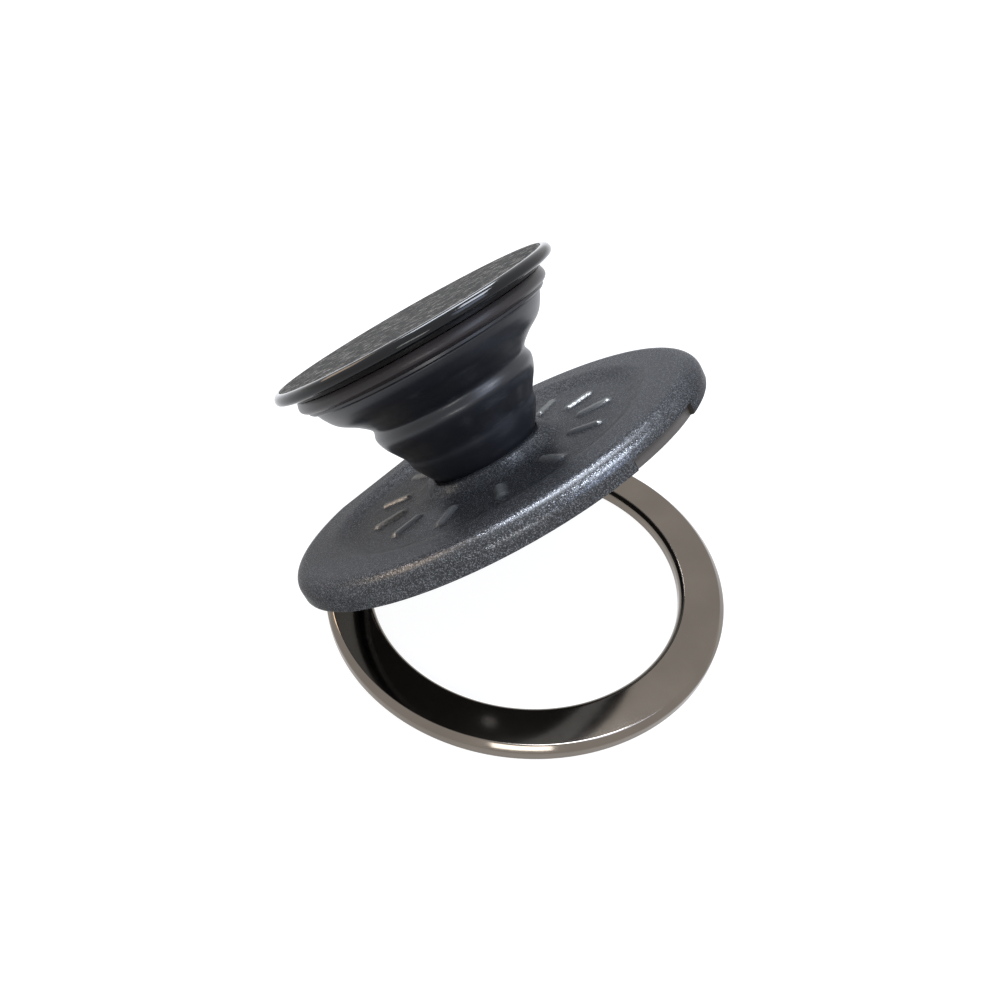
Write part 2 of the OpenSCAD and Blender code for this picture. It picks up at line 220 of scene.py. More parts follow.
def run_tree(name, mesh, tree, values):
    """The mesh that a Geometry Nodes tree makes from the given one, with its inputs set by name."""
    maker = bpy.data.objects.new(name, mesh)
    bpy.context.collection.objects.link(maker)
    modifier = maker.modifiers.new(name, "NODES")
    modifier.node_group = tree
    for item in tree.interface.items_tree:
        if item.in_out == "INPUT" and item.name in values:
            modifier[item.identifier] = values[item.name]
    bpy.context.view_layer.update()
    seen = maker.evaluated_get(bpy.context.evaluated_depsgraph_get())
    made = bpy.data.meshes.new_from_object(seen)
    bpy.data.objects.remove(maker)
    return made


def turned(name, section, finish, segments=SEGMENTS):
    """A closed mesh turned from a closed section, a list of (radius, height) in mm."""
    chain = bpy.data.meshes.new(name)
    edges = [(i, (i + 1) % len(section)) for i in range(len(section))]
    chain.from_pydata([(r * MM, z * MM, 0) for r, z in section], edges, [])
    mesh = run_tree(name, chain, TURN, {"Segments": segments, "Finish": finish})
    tidy_up(mesh)
    return mesh


def tidy_up(mesh):
    """Merges the doubles of a closed mesh and turns its faces outwards."""
    body = bmesh.new()
    body.from_mesh(mesh)
    bmesh.ops.remove_doubles(body, verts=body.verts, dist=MERGE_GAP * MM)
    bmesh.ops.dissolve_degenerate(body, edges=body.edges, dist=SLIVER * MM)
    bmesh.ops.recalc_face_normals(body, faces=body.faces)
    body.to_mesh(mesh)
    body.free()


def prism(outline, z0, z1):
    """A straight prism over an outline of (x, y) in mm."""
    count = len(outline)
    points = [(x * MM, y * MM, z * MM) for z in (z0, z1) for x, y in outline]
    faces = [tuple(range(count))[::-1], tuple(range(count, 2 * count))]
    faces += [(i, (i + 1) % count, count + (i + 1) % count, count + i) for i in range(count)]
    mesh = bpy.data.meshes.new("prism")
    mesh.from_pydata(points, [], faces)
    tidy_up(mesh)
    return mesh


def block(x0, y0, z0, x1, y1, z1):
    """A rectangular cutter."""
    return prism([(x0, y0), (x1, y0), (x1, y1), (x0, y1)], z0, z1)


def sector(r0, r1, z0, z1, start, end, steps):
    """A stretch of a flat ring."""
    return prism(arc(0, 0, r0, start, end, steps) + arc(0, 0, r1, end, start, steps), z0, z1)


def rod(r, y0, y1, x, z):
    """A round rod along Y."""
    sides = ROD_SIDES
    points = [(x * MM + r * MM * math.cos(t), y * MM, z * MM + r * MM * math.sin(t))
              for y in (y0, y1) for t in np.linspace(0, math.tau, sides, endpoint=False)]
    faces = [tuple(range(sides)), tuple(range(2 * sides - 1, sides - 1, -1))]
    faces += [(i, sides + i, sides + (i + 1) % sides, (i + 1) % sides) for i in range(sides)]
    mesh = bpy.data.meshes.new("rod")
    mesh.from_pydata(points, [], faces)
    tidy_up(mesh)
    return mesh


def worked(name, mesh, steps):
    """The mesh after adding or cutting away others in turn. Steps are pairs of "UNION" or
    "DIFFERENCE" and a mesh."""
    stock = bpy.data.objects.new(name, mesh)
    bpy.context.collection.objects.link(stock)
    tools = []
    for kind, tool in steps:
        cutter = bpy.data.objects.new("cutter", tool)
        bpy.context.collection.objects.link(cutter)
        tools.append(cutter)
        step = stock.modifiers.new(kind, "BOOLEAN")
        step.operation = kind
        step.solver = "EXACT"
        step.material_mode = "TRANSFER"
        step.object = cutter
    bpy.context.view_layer.update()
    seen = stock.evaluated_get(bpy.context.evaluated_depsgraph_get())
    made = bpy.data.meshes.new_from_object(seen)
    for used in tools + [stock]:
        bpy.data.objects.remove(used)
    return made


def piece(name, mesh, body, replaced=(), place=None):
    """Shows a finished mesh as one piece of the grip, riding on its CAD body."""
    if place is not None:
        mesh.transform(place)
    mesh.polygons.foreach_set("use_smooth", [True] * len(mesh.polygons))
    mesh.set_sharp_from_angle(angle=math.radians(SHARP_ANGLE))
    mesh.name = name
    thing = bpy.data.objects.new(name, mesh)
    bpy.context.collection.objects.link(thing)
    if replaced:
        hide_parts(*replaced)
    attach(thing, body)
    return thing


def new_finish(name):
    """An empty material and its tree."""
    material = bpy.data.materials.new(name)
    material.use_nodes = True
    material.node_tree.nodes.clear()
    return material, material.node_tree


def grains(tree, size, detail=2.0, rough=0.5):
    """Noise from 0 to 1 on Object coordinates whose grains are about size mm across."""
    where = add(tree, "ShaderNodeTexCoord")
    noise = add(tree, "ShaderNodeTexNoise",
                {"Vector": where.outputs["Object"], "Scale": 1 / (size * MM),
                 "Detail": detail, "Roughness": rough})
    return noise.outputs["Fac"]


def remapped(tree, value, low, high, out_low, out_high):
    """A value brought from one range to another."""
    node = add(tree, "ShaderNodeMapRange",
               {"Value": value, "From Min": low, "From Max": high,
                "To Min": out_low, "To Max": out_high})
    return node.outputs["Result"]


def blended(tree, share, first, second):
    """A colour between two, at that share of the way from the first. Each is a colour or a
    socket."""
    mix = add(tree, "ShaderNodeMix", {0: share, 6: first, 7: second}, data_type="RGBA")
    return mix.outputs[2]


def bumped(tree, height, depth):
    """Normals raised by a height from 0 to 1 that stands for depth mm."""
    bump = add(tree, "ShaderNodeBump", {"Height": height, "Distance": depth * MM, "Strength": 1.0})
    return bump.outputs["Normal"]


def gunmetal_coating():
    """Polished steel with a dark warm vapour-deposited coat: a mirror with a little haze in broad
    clouds, and a relief so fine that it only softens the edges of what it reflects."""
    material, tree = new_finish("vapour_coated_polished_steel")
    haze = grains(tree, 9.0, detail=3.0)
    fine = grains(tree, 0.25)
    rough = remapped(tree, haze, 0.3, 0.7, 0.07, 0.13)
    tint = blended(tree, haze, linear("#6a635c"), linear("#80786f"))
    steel = add(tree, "ShaderNodeBsdfPrincipled",
                {"Base Color": tint, "Metallic": 1.0, "Roughness": rough,
                 "Normal": bumped(tree, fine, 0.0006)})
    add(tree, "ShaderNodeOutputMaterial", {"Surface": steel.outputs[0]})
    return material


def ring_section():
    """Half section of the ring, from the hole's lower edge round the outside to the rolled one."""
    section = [(RING_HOLE_R, RING_EDGE), (RING_HOLE_R + RING_EDGE, 0)]
    section += [(RING_R - RING_EDGE, 0), (RING_R, RING_EDGE)]
    corner = [(0, 0.18), (0.01, 0.09), (0.04, 0.03), (0.1, -0.05)]
    section += [(RING_R - d, RING_T - RING_CHAMFER - h) for d, h in corner]
    section += [(RING_R - RING_CHAMFER - h, RING_T - d) for d, h in corner[::-1]]
    section += [(RING_HOLE_R + RING_ROLL_W + 0.1, RING_T)]
    return section + [(RING_HOLE_R + RING_ROLL_W * (1 + x), RING_T - RING_ROLL_H * (1 - y))
                      for x, y in arc(0, 0, 1, 90, 180, 16)]


TURN = turning_tree()
ring_coat = gunmetal_coating()
steps = [("DIFFERENCE", block(-FAR, -RING_FLAT_Y, -1, -HINGE_X, RING_FLAT_Y, RING_T + 1))]
steps += [("UNION", rod(KNUCKLE_R, side * KNUCKLE_Y0, side * KNUCKLE_Y1, -HINGE_X, HINGE_Z))
          for side in (-1, 1)]
steps += [("DIFFERENCE", block(-FAR, -KNUCKLE_Y0, -1, -CUTOUT_X, KNUCKLE_Y0, RING_T + 1))]
steps += [("DIFFERENCE", sector(CHANNEL_IN_R, CHANNEL_OUT_R, -1, CHANNEL_Z,
                                -CHANNEL_ANGLE / 2, CHANNEL_ANGLE / 2, 180))]
steps += [("DIFFERENCE", rod(PIN_R, -PIN_HOLE_Y, PIN_HOLE_Y, -HINGE_X, HINGE_Z))]
ring = worked("ring", turned("ring", ring_section(), ring_coat), steps)
piece("mounting_ring", ring, "ring", ["ring_frame"])


def dress(names, finish):
    """Gives CAD nodes a finish in place of their plain one."""
    for name in names:
        holder = nodes[name]
        for holder_slot in holder.material_slots:
            holder_slot.material = finish


def plated_metal(name, light, dark, rough, grain):
    """A plated metal: a soft mirror whose colour and sheen drift a little where the plating is
    thicker."""
    material, tree = new_finish(name)
    drift = grains(tree, grain, detail=4.0)
    tint = blended(tree, drift, linear(dark), linear(light))
    metal = add(tree, "ShaderNodeBsdfPrincipled",
                {"Base Color": tint, "Metallic": 1.0,
                 "Roughness": remapped(tree, drift, 0.3, 0.7, rough - 0.05, rough + 0.06),
                 "Normal": bumped(tree, drift, 0.003)})
    add(tree, "ShaderNodeOutputMaterial", {"Surface": metal.outputs[0]})
    return material


def moulded(name, light, dark, rough, specular, grain, depth):
    """A moulded plastic or rubber: its spark-eroded mould leaves a fine even grain that dulls the
    surface, and its tone drifts over stretches forty grains wide."""
    material, tree = new_finish(name)
    fine = grains(tree, grain, detail=3.0, rough=0.6)
    broad = grains(tree, grain * 40)
    tint = blended(tree, broad, linear(dark), linear(light))
    skin = add(tree, "ShaderNodeBsdfPrincipled",
               {"Base Color": tint, "Metallic": 0.0, "Specular IOR Level": specular,
                "Roughness": remapped(tree, broad, 0.3, 0.7, rough - 0.04, rough + 0.05),
                "Normal": bumped(tree, fine, depth)})
    add(tree, "ShaderNodeOutputMaterial", {"Surface": skin.outputs[0]})
    return material


magnet_names = sorted(name for name in nodes if name.startswith("ring_magnet_"))
dress(magnet_names, plated_metal("nickel_plated_magnet", "#c9c5bd", "#a8a49c", 0.24, 3.0))
dress(["ring_yoke"], plated_metal("zinc_plated_steel", "#b3b8bd", "#8f959b", 0.36, 2.0))
dress(["ring_pad"], moulded("silicone_pad", "#2c2d30", "#232426", 0.62, 0.3, 0.2, 0.01))


# Hinge pin and friction washers
# A ground steel pin pressed through the ring's knuckles, and two thin acetal washers that give the
# hinge its drag.
dress(["hinge_pin"], plated_metal("ground_steel_pin", "#c6c8ca", "#a3a6a9", 0.2, 0.6))
dress(["friction_washer_left", "friction_washer_right"],
      moulded("acetal_washer", "#d8cba6", "#cbbd96", 0.4, 0.5, 0.15, 0.004))


# Hinge bracket and its rivets
# A sintered steel bracket with the hinge barrel, held to the disc beside the flat by four headed
# steel rivets set flush in its leaf. The disc stands open, so what is fixed to it is placed turned.
OPEN_ANGLE = 40
RIVET_X, RIVET_Y = 24.6, (-8.6, -5.8, 5.8, 8.6)
SMALL_SEGMENTS = 48
on_open_disc = (
    Matrix.Translation(Vector((-HINGE_X, 0, HINGE_Z)) * MM)
    @ Matrix.Rotation(math.radians(-OPEN_ANGLE), 4, "Y")
    @ Matrix.Translation(Vector((HINGE_X, 0, -HINGE_Z)) * MM)
)


def repeating_tree():
    """Sets one part on every given point."""
    tree = bpy.data.node_groups.new("repeated_part", "GeometryNodeTree")
    tree.is_modifier = True
    face = tree.interface
    face.new_socket("Points", in_out="INPUT", socket_type="NodeSocketGeometry")
    face.new_socket("Part", in_out="INPUT", socket_type="NodeSocketObject")
    face.new_socket("Finish", in_out="INPUT", socket_type="NodeSocketMaterial")
    face.new_socket("Geometry", in_out="OUTPUT", socket_type="NodeSocketGeometry")
    given = add(tree, "NodeGroupInput").outputs
    part = add(tree, "GeometryNodeObjectInfo", {"Object": given["Part"], "As Instance": True})
    copies = add(tree, "GeometryNodeInstanceOnPoints",
                 {"Points": given["Points"], "Instance": part.outputs["Geometry"]})
    real = add(tree, "GeometryNodeRealizeInstances", {0: copies.outputs[0]})
    finish = add(tree, "GeometryNodeSetMaterial",
                 {"Geometry": real.outputs[0], "Material": given["Finish"]})
    tree.links.new(finish.outputs[0], add(tree, "NodeGroupOutput").inputs[0])
    return tree


def repeated(name, mesh, spots, finish):
    """Copies of a mesh at each spot (x, y) in mm, as one mesh."""
    pattern = bpy.data.objects.new(name, mesh)
    bpy.context.collection.objects.link(pattern)
    points = bpy.data.meshes.new(name)
    points.from_pydata([(x * MM, y * MM, 0) for x, y in spots], [], [])
    made = run_tree(name, points, REPEAT, {"Part": pattern, "Finish": finish})
    bpy.data.objects.remove(pattern)
    return made


REPEAT = repeating_tree()
dress(["hinge_bracket"], plated_metal("sintered_steel", "#8b8e92", "#6b6e72", 0.42, 0.35))
rivet_steel = plated_metal("bright_steel_rivet", "#c9cbcd", "#a9acaf", 0.25, 1.2)
rivet_section = [(0.0, 2.25), (0.79, 2.25), (0.83, 2.28), (0.5, 2.6), (0.5, 3.05), (0.0, 3.05)]
rivet = turned("rivet", rivet_section, rivet_steel, SMALL_SEGMENTS)
rivets = repeated("rivets", rivet, [(-RIVET_X, y) for y in RIVET_Y], rivet_steel)
piece("bracket_rivets_headed", rivets, "disc", ["bracket_rivets"], on_open_disc)


# Keeper ring
# A blanked ring of plated steel in the underside of the disc, which the magnets cling to when the
# stand is folded in.
dress(["keeper_ring"], plated_metal("rolled_steel_keeper", "#9fa3a7", "#82868a", 0.3, 1.5))


# Disc cover
# A moulded nylon cover, sprayed with dark satin paint that holds metal flake: dished, with a collar
# round the foot of the bellows, raised bars on the floor and a fingernail notch in the skirt.
DISC_R, DISC_T, FLOOR_Z, COLLAR_Z = 29.5, 3.4, 2.45, 4.0
COLLAR_TOP_R, COLLAR_FOOT_R, COLLAR_WIDTH, COLLAR_FLARE, COLLAR_POWER = 8.65, 12.2, 3.6, 1.45, 2.6
NECK_HOLE_R, POCKET_R, POCKET_Z = 7.6, 10.6, 1.9
FLOOR_OUT_R, DISH_RISE_W = 19.5, 4
EDGE_ROUND_W, EDGE_ROUND_H = 2.3, 1.9
SKIRT_IN_R, RECESS_Z, KEEPER_GROOVE_Z = 28.45, 2.25, 2.6
BOSS_R, BOSS_IN_R, PLATE_Z0, PLATE_Z1, INSIDE_Z = 21.5, 20.7, 0.15, 0.9, 1.5
COVER_SEGMENTS = 480
FLAT_X, FLAT_ROUND = 27.6, 1.2
RELIEF_X, RELIEF_Y = 22, 12.5
LEAF_POCKET_X, LEAF_POCKET_Y, LEAF_POCKET_Z0, LEAF_POCKET_Z1 = 22.4, 10.5, 1, 2.75
BAR_COUNT, BAR_IN_R, BAR_OUT_R, BAR_HALF, BAR_H = 13, 13.4, 17.0, 1.06, 0.4
NOTCH_W, NOTCH_H, NOTCH_DEPTH, NOTCH_TURN = 12.4, 1.5, 0.65, 0.2166


def cover_section():
    """Half section of the cover: over the top from the neck hole by the collar, the floor and the
    border to the skirt, and back below by the recesses for the ring, the plate and the clamp."""
    over = [(NECK_HOLE_R, 3.8), (7.66, 3.94), (7.8, COLLAR_Z), (8.25, COLLAR_Z), (8.42, 3.97)]
    over += [(8.55, 3.9)]
    over += [(r, FLOOR_Z + COLLAR_FLARE * ((COLLAR_FOOT_R - r) / COLLAR_WIDTH) ** COLLAR_POWER)
             for r in np.linspace(COLLAR_TOP_R, COLLAR_FOOT_R, 24)]
    over += [(r, FLOOR_Z) for r in np.linspace(12.4, 19.4, 48)]
    over += [(FLOOR_OUT_R + DISH_RISE_W * t,
              FLOOR_Z + (DISC_T - FLOOR_Z) * (1 - math.cos(math.pi * t)) / 2)
             for t in np.linspace(0, 1, 16)]
    over += [(r, DISC_T) for r in np.linspace(24.1, 26.8, 5)]
    over += [(DISC_R - EDGE_ROUND_W * (1 - x), DISC_T - EDGE_ROUND_H * (1 - y))
             for x, y in arc(0, 0, 1, 90, 0, 24)]
    over += [(DISC_R, 0.3), (DISC_R - 0.09, 0.09), (DISC_R - 0.3, 0)]
    over += [(28.55, 0), (SKIRT_IN_R, 0.1), (SKIRT_IN_R, RECESS_Z)]
    over += [(27.5, RECESS_Z), (27.5, KEEPER_GROOVE_Z), (22.5, KEEPER_GROOVE_Z), (22.5, RECESS_Z)]
    over += [(BOSS_R, RECESS_Z), (BOSS_R, 0.25), (21.4, PLATE_Z0), (BOSS_IN_R, PLATE_Z0)]
    over += [(BOSS_IN_R, INSIDE_Z), (11.4, INSIDE_Z), (11.4, PLATE_Z1), (POCKET_R, PLATE_Z1)]
    return over + [(POCKET_R, POCKET_Z), (NECK_HOLE_R, POCKET_Z)]


def raised_bars_tree():
    """Lifts the floor of a turned part into equal bars that point at its axis, and stores how far
    up each point is lifted, the mask of a painted highlight on the crests."""
    tree = bpy.data.node_groups.new("raised_bars", "GeometryNodeTree")
    tree.is_modifier = True
    face = tree.interface
    face.new_socket("Geometry", in_out="INPUT", socket_type="NodeSocketGeometry")
    for name in ("Count", "Inner radius", "Outer radius", "Half width", "Height", "Floor"):
        face.new_socket(name, in_out="INPUT", socket_type="NodeSocketFloat")
    face.new_socket("Finish", in_out="INPUT", socket_type="NodeSocketMaterial")
    face.new_socket("Geometry", in_out="OUTPUT", socket_type="NodeSocketGeometry")
    given = add(tree, "NodeGroupInput").outputs

    def calc(operation, a, b=0.0):
        return add(tree, "ShaderNodeMath", {0: a, 1: b}, operation=operation).outputs[0]

    place = add(tree, "GeometryNodeInputPosition")
    axes = add(tree, "ShaderNodeSeparateXYZ", {0: place.outputs[0]}).outputs
    radius = calc("SQRT", calc("ADD", calc("MULTIPLY", axes[0], axes[0]),
                               calc("MULTIPLY", axes[1], axes[1])))
    pitch = calc("DIVIDE", math.tau, given["Count"])
    turn = calc("FLOORED_MODULO", calc("ARCTAN2", axes[1], axes[0]), pitch)
    turn = calc("SUBTRACT", turn, calc("MULTIPLY", pitch, 0.5))
    across = calc("MULTIPLY", radius, calc("SINE", turn))
    along = calc("MULTIPLY", radius, calc("COSINE", turn))
    beyond = calc("MAXIMUM", calc("SUBTRACT", given["Inner radius"], along),
                  calc("SUBTRACT", along, given["Outer radius"]))
    beyond = calc("MAXIMUM", beyond, 0.0)
    away = calc("SQRT", calc("ADD", calc("MULTIPLY", across, across),
                             calc("MULTIPLY", beyond, beyond)))
    lift = add(tree, "ShaderNodeMapRange",
               {"Value": away, "From Min": calc("MULTIPLY", given["Half width"], 1.12),
                "From Max": calc("MULTIPLY", given["Half width"], 0.1),
                "To Min": 0.0, "To Max": given["Height"]},
               interpolation_type="SMOOTHSTEP")
    up = add(tree, "ShaderNodeCombineXYZ", {"Z": lift.outputs["Result"]})
    on_top = add(tree, "FunctionNodeCompare", {0: axes[2], 1: given["Floor"]},
                 data_type="FLOAT", operation="GREATER_THAN")
    moved = add(tree, "GeometryNodeSetPosition",
                {"Geometry": given["Geometry"], "Selection": on_top.outputs[0],
                 "Offset": up.outputs[0]})
    crest = calc("DIVIDE", lift.outputs["Result"], given["Height"])
    crest = calc("MULTIPLY", crest, on_top.outputs[0])
    # The crest mask, 0 on the floor and 1 on top, drives a painted highlight in the paint.
    marked = add(tree, "GeometryNodeStoreNamedAttribute",
                 {"Geometry": moved.outputs[0], "Name": "rubbed", "Value": crest},
                 data_type="FLOAT", domain="POINT")
    real = add(tree, "GeometryNodeRealizeInstances", {0: marked.outputs[0]})
    finish = add(tree, "GeometryNodeSetMaterial",
                 {"Geometry": real.outputs[0], "Material": given["Finish"]})
    tree.links.new(finish.outputs[0], add(tree, "NodeGroupOutput").inputs[0])
    return tree


def flake_paint():
    """Satin two-coat paint: near-black binder with aluminium flake of 0.08 mm, each flake tilted
    its own way, so it glitters. What stands up is lightened pale, a painted highlight, and
    glossier."""
    material, tree = new_finish("metal_flake_satin_paint")
    where = add(tree, "ShaderNodeTexCoord").outputs["Object"]
    flakes = add(tree, "ShaderNodeTexVoronoi", {"Vector": where, "Scale": 1 / (0.08 * MM)})
    tilt = add(tree, "ShaderNodeVectorMath",
               {0: flakes.outputs["Color"], 1: (-0.5, -0.5, -0.5)}, operation="ADD")
    tilt = add(tree, "ShaderNodeVectorMath", {0: tilt.outputs[0], "Scale": 0.17}, operation="SCALE")
    surface = add(tree, "ShaderNodeNewGeometry")
    facing = add(tree, "ShaderNodeVectorMath",
                 {0: surface.outputs["Normal"], 1: tilt.outputs[0]}, operation="ADD")
    facing = add(tree, "ShaderNodeVectorMath", {0: facing.outputs[0]}, operation="NORMALIZE")
    single = add(tree, "ShaderNodeSeparateColor", {0: flakes.outputs["Color"]})
    bright = add(tree, "ShaderNodeMath", {0: single.outputs[0], 1: 5.0}, operation="POWER")
    tint = blended(tree, bright.outputs[0], linear("#3c3d3e"), linear("#8b8d92"))
    rubbed = add(tree, "ShaderNodeAttribute", attribute_name="rubbed").outputs["Fac"]
    # Painted highlight: the crests of the raised bars are lightened towards pale grey.
    tint = blended(tree, rubbed, tint, linear("#8d8d8b"))
    satin = remapped(tree, grains(tree, 6.0, detail=3.0), 0.3, 0.7, 0.26, 0.3)
    # The crests are also made glossier, by a lower roughness.
    worn = add(tree, "ShaderNodeMath", {0: rubbed, 1: 0.14}, operation="MULTIPLY")
    rough = add(tree, "ShaderNodeMath", {0: satin, 1: worn.outputs[0]}, operation="SUBTRACT")
    paint = add(tree, "ShaderNodeBsdfPrincipled",
                {"Base Color": tint, "Metallic": 0.64, "Specular IOR Level": 0.12,
                 "Specular Tint": (0.04, 0.04, 0.04, 1), "Roughness": rough.outputs[0],
                 "Normal": facing.outputs[0]})
    add(tree, "ShaderNodeOutputMaterial", {"Surface": paint.outputs[0]})
    return material


cover_paint = flake_paint()
cover = turned("cover", cover_section(), cover_paint, COVER_SEGMENTS)
cover = run_tree("cover", cover, raised_bars_tree(),
                 {"Count": float(BAR_COUNT), "Inner radius": BAR_IN_R * MM,
                  "Outer radius": BAR_OUT_R * MM, "Half width": BAR_HALF * MM, "Height": BAR_H * MM,
                  "Floor": (FLOOR_Z - 0.05) * MM, "Finish": cover_paint})
notch_r = DISC_R - NOTCH_DEPTH
notch = [(notch_r * math.cos(t), notch_r * math.sin(t))
         for t in np.linspace(-NOTCH_TURN, NOTCH_TURN, 24)]
notch_tool = prism(notch + [(FAR, NOTCH_W / 2), (FAR, -NOTCH_W / 2)], -1, NOTCH_H)
# The notch's recess gets a lighter, warmer finish than the paint around it.
notch_wall_finish = moulded("lighter_finish_in_the_notch", "#5c5650", "#4d4843", 0.45, 0.4, 0.2, 0.004)
notch_tool.materials.append(notch_wall_finish)
round_x, round_z, above = FLAT_ROUND - FLAT_X, DISC_T - FLAT_ROUND, 10
edge = arc(round_x, round_z, FLAT_ROUND, 180, 90, 16)
rounding = prism(edge + [(round_x, above), (-FAR, above), (-FAR, round_z)], -35, 35)
rounding.transform(Matrix.Rotation(math.radians(90), 4, "X"))
steps = [("DIFFERENCE", block(-FAR, -30, -5, -FLAT_X, 30, above)),
         ("DIFFERENCE", rounding),
         ("DIFFERENCE", block(-FAR, -RELIEF_Y, -5, -RELIEF_X, RELIEF_Y, RECESS_Z)),
         ("DIFFERENCE", block(-FAR, -LEAF_POCKET_Y, LEAF_POCKET_Z0,
                              -LEAF_POCKET_X, LEAF_POCKET_Y, LEAF_POCKET_Z1)),
         ("DIFFERENCE", notch_tool)]
cover = worked("cover", cover, steps)
piece("disc_cover_painted", cover, "disc", ["disc_cover"], on_open_disc)


# Bottom plate and its screws
# A moulded nylon plate that closes the underside of the disc, held by four countersunk screws.
SCREW_RING_R, CROSS_L, CROSS_W, CROSS_Z = 16.5, 0.7, 0.14, 0.5
dress(["disc_plate"], moulded("glass_filled_nylon", "#222326", "#1a1b1d", 0.5, 0.35, 0.25, 0.008))
screw_zinc = plated_metal("zinc_plated_screw", "#b9bcc0", "#989ca1", 0.28, 0.8)
screw_section = [(0.0, PLATE_Z0), (1.14, PLATE_Z0), (1.17, 0.18), (0.6, 0.7), (0.6, 1.9)]
screw_section += [(0.5, 2.0), (0.0, 2.0)]
screw = turned("screw", screw_section, screw_zinc, SMALL_SEGMENTS)
steps = [("DIFFERENCE", block(-along, -across, 0, along, across, CROSS_Z))
         for along, across in ((CROSS_L, CROSS_W), (CROSS_W, CROSS_L))]
screw = worked("screw", screw, steps)
screws = repeated("screws", screw, arc(0, 0, SCREW_RING_R, 45, 315, 3), screw_zinc)
piece("plate_screws_crossed", screws, "disc", ["plate_screws"], on_open_disc)


# Clamp ring
# A moulded ring under the cover that presses the foot of the bellows against it.
clamp_nylon = moulded("moulded_clamp_nylon", "#2f3134", "#27292c", 0.5, 0.35, 0.25, 0.006)
dress(["bellows_clamp"], clamp_nylon)


# Bellows
# An injection-moulded thermoplastic elastomer tube with rolling folds, narrow at the disc and wide
# at the cap, so that it telescopes flat. Its foot is clamped in the disc and stays as the walls
# fold. The knots of its outline are (height, radius).
BELLOWS_KNOTS = [(4, 7.5), (5.4, 8.35), (7.0, 9.2), (8.3, 9.45), (9.4, 10.1), (10.9, 11.0),
                 (12.4, 11.45), (13.8, 11.2), (15.3, 12.7), (16.7, 14.7), (18.1, 15.7),
                 (19.2, 16.2)]
BELLOWS_WALL, LIP_Z0, LIP_Z1, LIP_R, LIP_IN_R = 0.9, 19.35, 19.9, 16.9, 13.0
FOOT_R, FOOT_Z0, FOOT_Z1, FOOT_OUT_R = 6.6, 1.35, 1.9, 10.4
KNOT_STEPS = 9


def smooth_curve(knots, steps):
    """Points (radius, height) on a smooth curve through knots of (height, radius), with that many
    steps between two knots."""
    ends = [knots[0]] + list(knots) + [knots[-1]]
    line = []
    for a, b, c, d in zip(ends, ends[1:], ends[2:], ends[3:]):
        a, b, c, d = (np.array(v, dtype=float) for v in (a, b, c, d))
        for t in np.arange(steps) / steps:
            line.append((2 * b + (c - a) * t + (2 * a - 5 * b + 4 * c - d) * t ** 2
                         + (3 * b - a - 3 * c + d) * t ** 3) / 2)
    line.append(np.array(knots[-1], dtype=float))
    return [(p[1], p[0]) for p in line]


def bellows_section():
    """Half section of the bellows' walls and lip, up the outside and down the inside."""
    outside = smooth_curve(BELLOWS_KNOTS, KNOT_STEPS)
    lip = [(16.2, LIP_Z0), (16.7, 19.4), (LIP_R, 19.6), (LIP_R, LIP_Z1), (LIP_IN_R, LIP_Z1)]
    lip += [(LIP_IN_R, LIP_Z0), (15.3, LIP_Z0)]
    return outside + lip + [(r - BELLOWS_WALL, z) for r, z in outside[::-1]]


bellows_skin = moulded("moulded_elastomer", "#22242a", "#1a1b20", 0.31, 0.45, 0.3, 0.003)
foot_section = [(FOOT_R, FOOT_Z0), (FOOT_OUT_R, FOOT_Z0), (FOOT_OUT_R, FOOT_Z1), (7.5, FOOT_Z1)]
foot_section += [(7.5, COLLAR_Z), (FOOT_R, COLLAR_Z)]
foot = turned("foot", foot_section, bellows_skin)
piece("bellows_foot", foot, "disc", ["bellows"], on_open_disc)
bellows = turned("bellows", bellows_section(), bellows_skin)
bellows = piece("bellows_walls", bellows, "disc", (), on_open_disc)
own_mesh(bellows)


# Platform and the ring that holds the bellows' lip
# The moulded platform closes the wide end of the bellows and carries the cap: its socket has two
# slots that let the cap's lugs in and a track that they turn in. A ring snapped in from below
# clamps the lip of the bellows.
PLATFORM_CREST = [(19.92, 16.85), (20.05, 17.3), (20.35, 17.62), (20.7, 17.7), (21.1, 17.62),
                  (21.45, 17.48), (21.65, 17.38)]
CREST_STEPS = 6
PLATFORM_Z0, PLATFORM_Z1, SOCKET_WALL_R = 18.8, 21.65, 10.8
SOCKET_R, SOCKET_Z, TRACK_R, TRACK_Z = 8.6, 19.7, 9.6, 20.8
LUG_TURNS, TRACK_START, SLOT_START, TRACK_END = (90, 270), -18, 72, 108


def platform_section():
    """Half section of the platform, from below round its crest to the socket."""
    section = [(0.0, PLATFORM_Z0), (10.4, PLATFORM_Z0), (SOCKET_WALL_R, 19.2)]
    section += [(SOCKET_WALL_R, LIP_Z1), (16.7, LIP_Z1)]
    section += smooth_curve(PLATFORM_CREST, CREST_STEPS)
    section += [(SOCKET_R + 0.15, PLATFORM_Z1), (SOCKET_R, 21.5)]
    return section + [(SOCKET_R, SOCKET_Z), (0.0, SOCKET_Z)]


platform_skin = moulded("moulded_polycarbonate", "#373131", "#2d2929", 0.32, 0.3, 0.3, 0.003)
steps = [("DIFFERENCE", sector(SOCKET_R - 1, TRACK_R, SOCKET_Z, TRACK_Z,
                               turn + TRACK_START, turn + TRACK_END, 48)) for turn in LUG_TURNS]
steps += [("DIFFERENCE", sector(SOCKET_R - 1, TRACK_R, SOCKET_Z, 23,
                                turn + SLOT_START, turn + TRACK_END, 16)) for turn in LUG_TURNS]
platform = worked("platform", turned("platform", platform_section(), platform_skin), steps)
piece("platform_moulded", platform, "grip", ["platform"], on_open_disc)
dress(["bellows_top_ring"], platform_skin)


